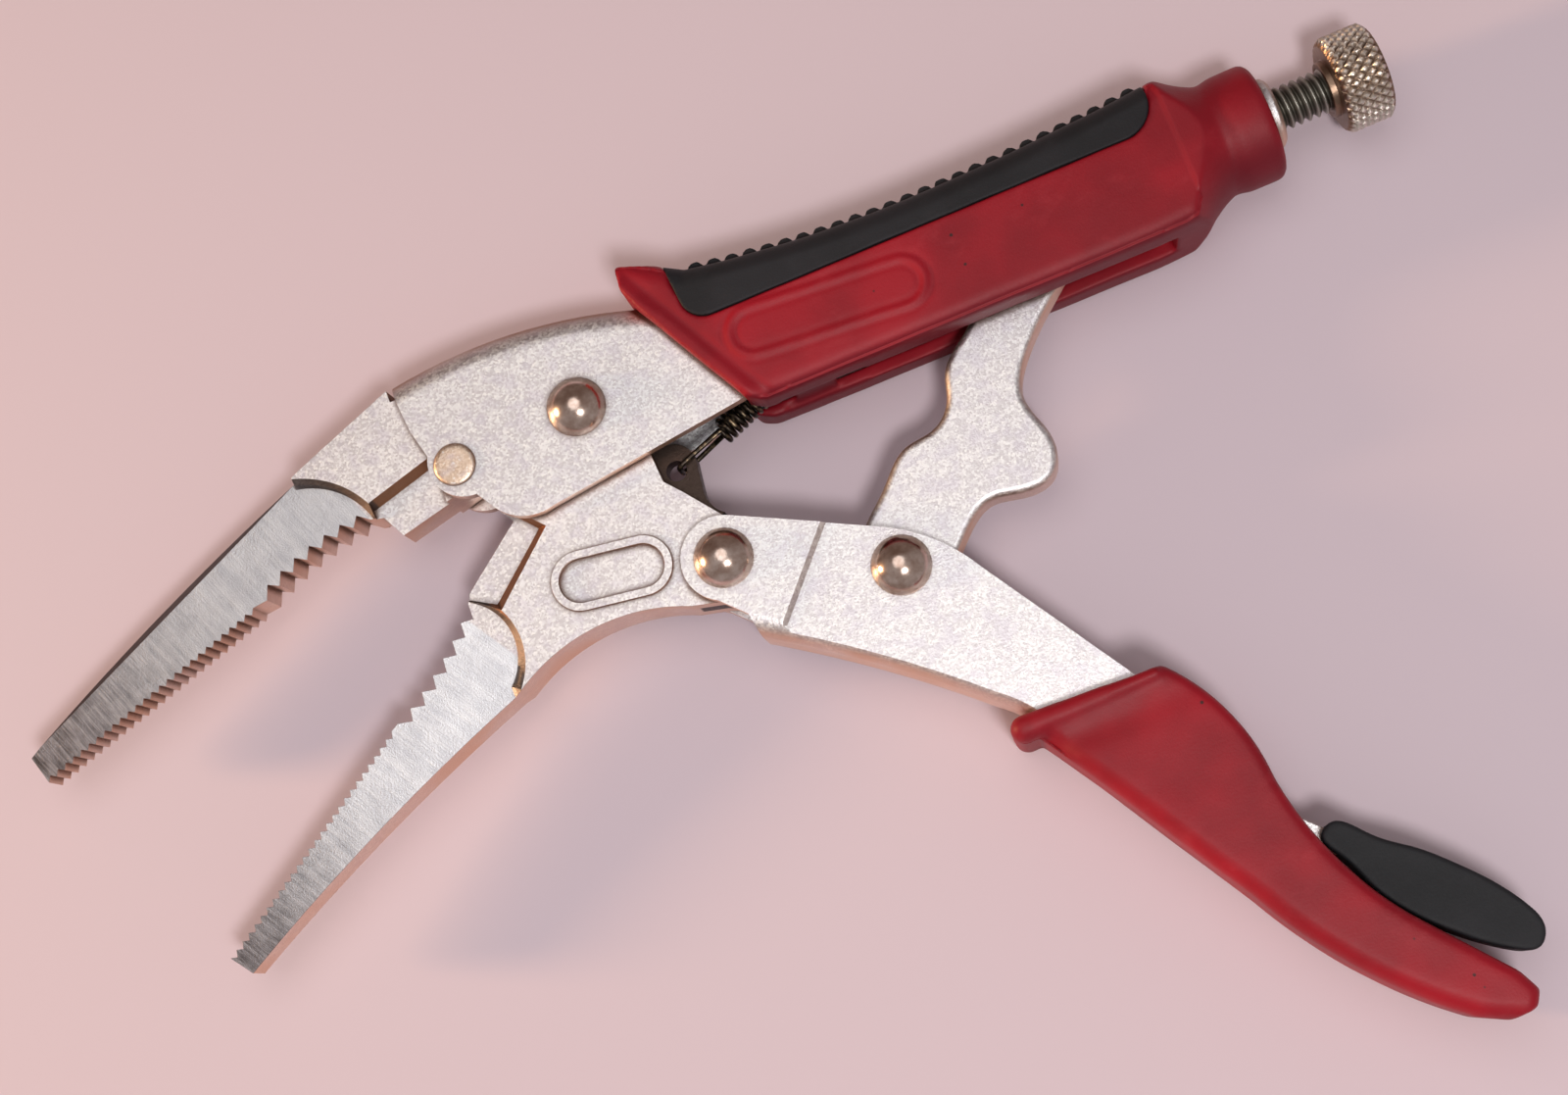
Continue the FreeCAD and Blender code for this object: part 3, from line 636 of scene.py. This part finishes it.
def shape_upper_grip(p):
    """Crowns the sleeve's sides, and raises a lip at its mouth and a blank label outline."""
    x, y, z = p
    if abs(z) > 8.8 and x < 98:
        crown = 0.18 + 0.25 * min(1.0, ((y - 0.5) / 11.0) ** 2)
        gap = capsule_distance(x, y, (40.8, -1.6), 30.5, 7.4, math.radians(-4.7))
        rim = 0.34 * math.exp(-(gap / 0.42) ** 2) - 0.12 * math.exp(-((gap - 1.0) / 0.4) ** 2)
        inward = ((x - 14.2) * 19.4 + (y - 9.8) * 10.4) / 22.0
        lip = (0.36 * math.exp(-((inward - 0.8) / 0.9) ** 2)
               - 0.22 * math.exp(-((inward - 2.8) / 0.7) ** 2))
        z = math.copysign(abs(z) - crown + rim + lip, z)
    return wobble((x, y, z), 9.0, 0.10)


def shape_lower_grip(p):
    """Hollows the sleeve's sides behind the rolled lip at its mouth."""
    x, y, z = p
    if abs(z) > 7.0:
        behind = (-74.6 - y) / 2.2
        depth = 0.25 + 0.5 * max(0.0, min(1.0, (62.0 - x) / 14.0))
        z -= math.copysign(depth * math.exp(-behind ** 2), z)
    return wobble((x, y, z), 7.0, 0.08)


def shape_plain(p):
    """A slight unevenness only."""
    return wobble(p, 7.0, 0.08)


# ---- Build ---------------------------------------------------------------------------------

def build_materials():
    """Every material of the tool by a short name."""
    nickel = plated("satin_nickel", rgb(250, 250, 250), rgb(212, 207, 208), rgb(142, 100, 72))
    red = vinyl("red_vinyl", rgb(160, 17, 34), rgb(132, 13, 28), rgb(190, 70, 78), (0.42, 0.6),
                0.9)
    # This copy of the red vinyl has painted shade on its lower flank.
    sleeve = vinyl("red_sleeve", rgb(158, 17, 34), rgb(130, 13, 28), rgb(188, 68, 76),
                   (0.42, 0.6), 0.9, 0.75)
    black = vinyl("black_rubber", rgb(34, 33, 37), rgb(24, 24, 27), rgb(62, 60, 63), (0.5, 0.72),
                  0.0)
    return {
        "nickel": nickel,
        "link": plated("link_nickel", rgb(250, 249, 249), rgb(212, 207, 208), rgb(176, 150, 130),
                       (0.4, 0.58)),
        "fixed": jaw_material("fixed_jaw_steel", (-37.5, 0.5), math.atan2(-0.39, -0.92),
                              -1.9, 0.9, 0.9),
        "moving": jaw_material("moving_jaw_steel", (-24.0, -28.5),
                               math.atan2(-0.54, -0.84), -3.5, 1.0, 0.86),
        "handle": plated("handle_nickel", rgb(250, 250, 250), rgb(214, 209, 210),
                         rgb(150, 112, 86), corner_shade_strength=0.4),
        "flat_rivet": plated("flat_rivet_nickel", rgb(244, 226, 208), rgb(216, 190, 166),
                             rgb(190, 112, 60), (0.34, 0.46)),
        "rivet": rivet_material(),
        "knob": turned_steel("knob_nickel", rgb(238, 230, 220), rgb(140, 116, 98), 6.9, 7.4,
                             (0.26, 0.42), SCREW_Y),
        "screw": turned_steel("screw_thread", rgb(176, 174, 164), rgb(98, 94, 86), 2.85, 3.35,
                              (0.4, 0.55), SCREW_Y),
        "spring": spring_material(),
        "red": red,
        "sleeve": sleeve,
        "black": black,
    }


def dress(obj, shader):
    """Gives the whole object one material."""
    obj.data.materials.clear()
    obj.data.materials.append(shader.material)
    obj.data.polygons.foreach_set("material_index", [0] * len(obj.data.polygons))


def build():
    """Dresses the CAD nodes and puts the softened and detailed pieces in place of others."""
    looks = build_materials()
    for node, width, look in (
            ("fixed_jaw", 0.12, "fixed"), ("moving_jaw", 0.12, "moving"),
            ("thread_bush", 0.15, "link"), ("release_lever", 0.2, "nickel"),
            ("toggle_link", 0.1, "link"),
            ("main_pivot_rivet", 0.1, "rivet"), ("jaw_handle_rivet", 0.1, "rivet"),
            ("link_rivet", 0.1, "rivet"), ("spring_anchor_pin", 0.15, "rivet"),
            ("release_lever_pin", 0.15, "rivet")):
        machined(node, width)
        dress(nodes[node], looks[look])
    for node, look in (("upper_handle_channel", "nickel"), ("lower_handle_channel", "handle")):
        machined(node, 0.85, segments=5)
        dress(nodes[node], looks[look])
    dress(make_flat_rivet(), looks["flat_rivet"])
    dress(make_screw(), looks["screw"])
    dress(make_knob(), looks["knob"])
    dress(make_tension_spring(), looks["spring"])
    dress(make_lever_leaf(), looks["spring"])
    dress(sculpted("upper_grip", "upper_grip_sleeve", "upper_handle", 0.4, 10,
                   shape_upper_grip), looks["sleeve"])
    dress(sculpted("upper_grip_inlay", "upper_grip_saddle", "upper_handle", 0.25,
                   2, shape_plain), looks["black"])
    dress(sculpted("lower_grip", "lower_grip_sleeve", "lower_handle", 0.35, 18,
                   shape_lower_grip), looks["red"])
    dress(sculpted("release_lever_pad", "release_lever_cover", "lever", 0.25, 6,
                   shape_plain), looks["black"])


# ---- Stage ---------------------------------------------------------------------------------

def make_floor():
    """Plain pale floor under the tool."""
    size = 3.0
    mesh = bpy.data.meshes.new("floor")
    mesh.from_pydata([(-size, -size, 0), (size, -size, 0), (size, size, 0), (-size, size, 0)], [],
                     [(0, 1, 2, 3)])
    floor = bpy.data.objects.new("floor", mesh)
    scene.collection.objects.link(floor)
    s = Shader("pale_floor", Roughness=0.9)
    s.main.inputs["Base Color"].default_value = rgb(216, 199, 207)
    s.main.inputs["Specular IOR Level"].default_value = 0.1
    mesh.materials.append(s.material)


def make_light(name, place, target, size, power, colour):
    """Round area light that faces the target."""
    data = bpy.data.lights.new(name, "AREA")
    data.shape = "DISK"
    data.size = size
    data.energy = power
    data.color = colour
    lamp = bpy.data.objects.new(name, data)
    lamp.location = place
    lamp.rotation_mode = "QUATERNION"
    lamp.rotation_quaternion = (Vector(place) - Vector(target)).to_track_quat("Z", "Y")
    scene.collection.objects.link(lamp)


def make_camera():
    """Camera high above the tool's handles, turned so that the tool lies across the frame."""
    data = bpy.data.cameras.new("camera")
    data.sensor_fit = "HORIZONTAL"
    data.sensor_width = 36.0
    data.lens = 55.575
    data.clip_start = 0.01
    data.clip_end = 20.0
    camera = bpy.data.objects.new("camera", data)
    camera.location = at(43.84, -108.86, 355.88)
    camera.rotation_euler = [math.radians(turn) for turn in (10.13, 7.94, -21.35)]
    scene.collection.objects.link(camera)
    scene.camera = camera


def make_world():
    """Dim surroundings, darker and browner beyond the tool's back."""
    world = bpy.data.worlds.new("world")
    world.use_nodes = True
    background = world.node_tree.nodes["Background"]
    tree = world.node_tree
    heading = tree.nodes.new("ShaderNodeTexCoord")
    parts = tree.nodes.new("ShaderNodeSeparateXYZ")
    share = tree.nodes.new("ShaderNodeMapRange")
    share.interpolation_type = "SMOOTHSTEP"
    share.inputs["From Min"].default_value = -0.15
    share.inputs["From Max"].default_value = 0.75
    mix = tree.nodes.new("ShaderNodeMix")
    mix.data_type = "RGBA"
    mix.inputs[6].default_value = (0.66, 0.60, 0.60, 1.0)
    mix.inputs[7].default_value = (0.36, 0.27, 0.24, 1.0)
    tree.links.new(heading.outputs["Generated"], parts.inputs[0])
    tree.links.new(parts.outputs[1], share.inputs["Value"])
    tree.links.new(share.outputs[0], mix.inputs[0])
    tree.links.new(mix.outputs[2], background.inputs["Color"])
    background.inputs["Strength"].default_value = 0.5
    scene.world = world


def make_stage():
    """Floor, lights, camera and surroundings."""
    make_floor()
    middle = (cad_box[0] + cad_box[1]) / 2
    make_light("key", middle + Vector((0.07, -0.26, 0.62)), middle, 0.13, 2.1,
               (1.0, 0.985, 0.98))
    make_light("overhead", middle + Vector((-0.05, 0.18, 0.8)), middle, 0.6, 1.1,
               (1.0, 0.985, 0.985))
    make_light("lamp", middle + Vector((-0.66, 0.2, 0.15)), middle, 0.1, 4.0,
               (1.0, 0.62, 0.34))
    make_camera()
    make_world()
    scene.view_settings.view_transform = "Standard"


build()
make_stage()
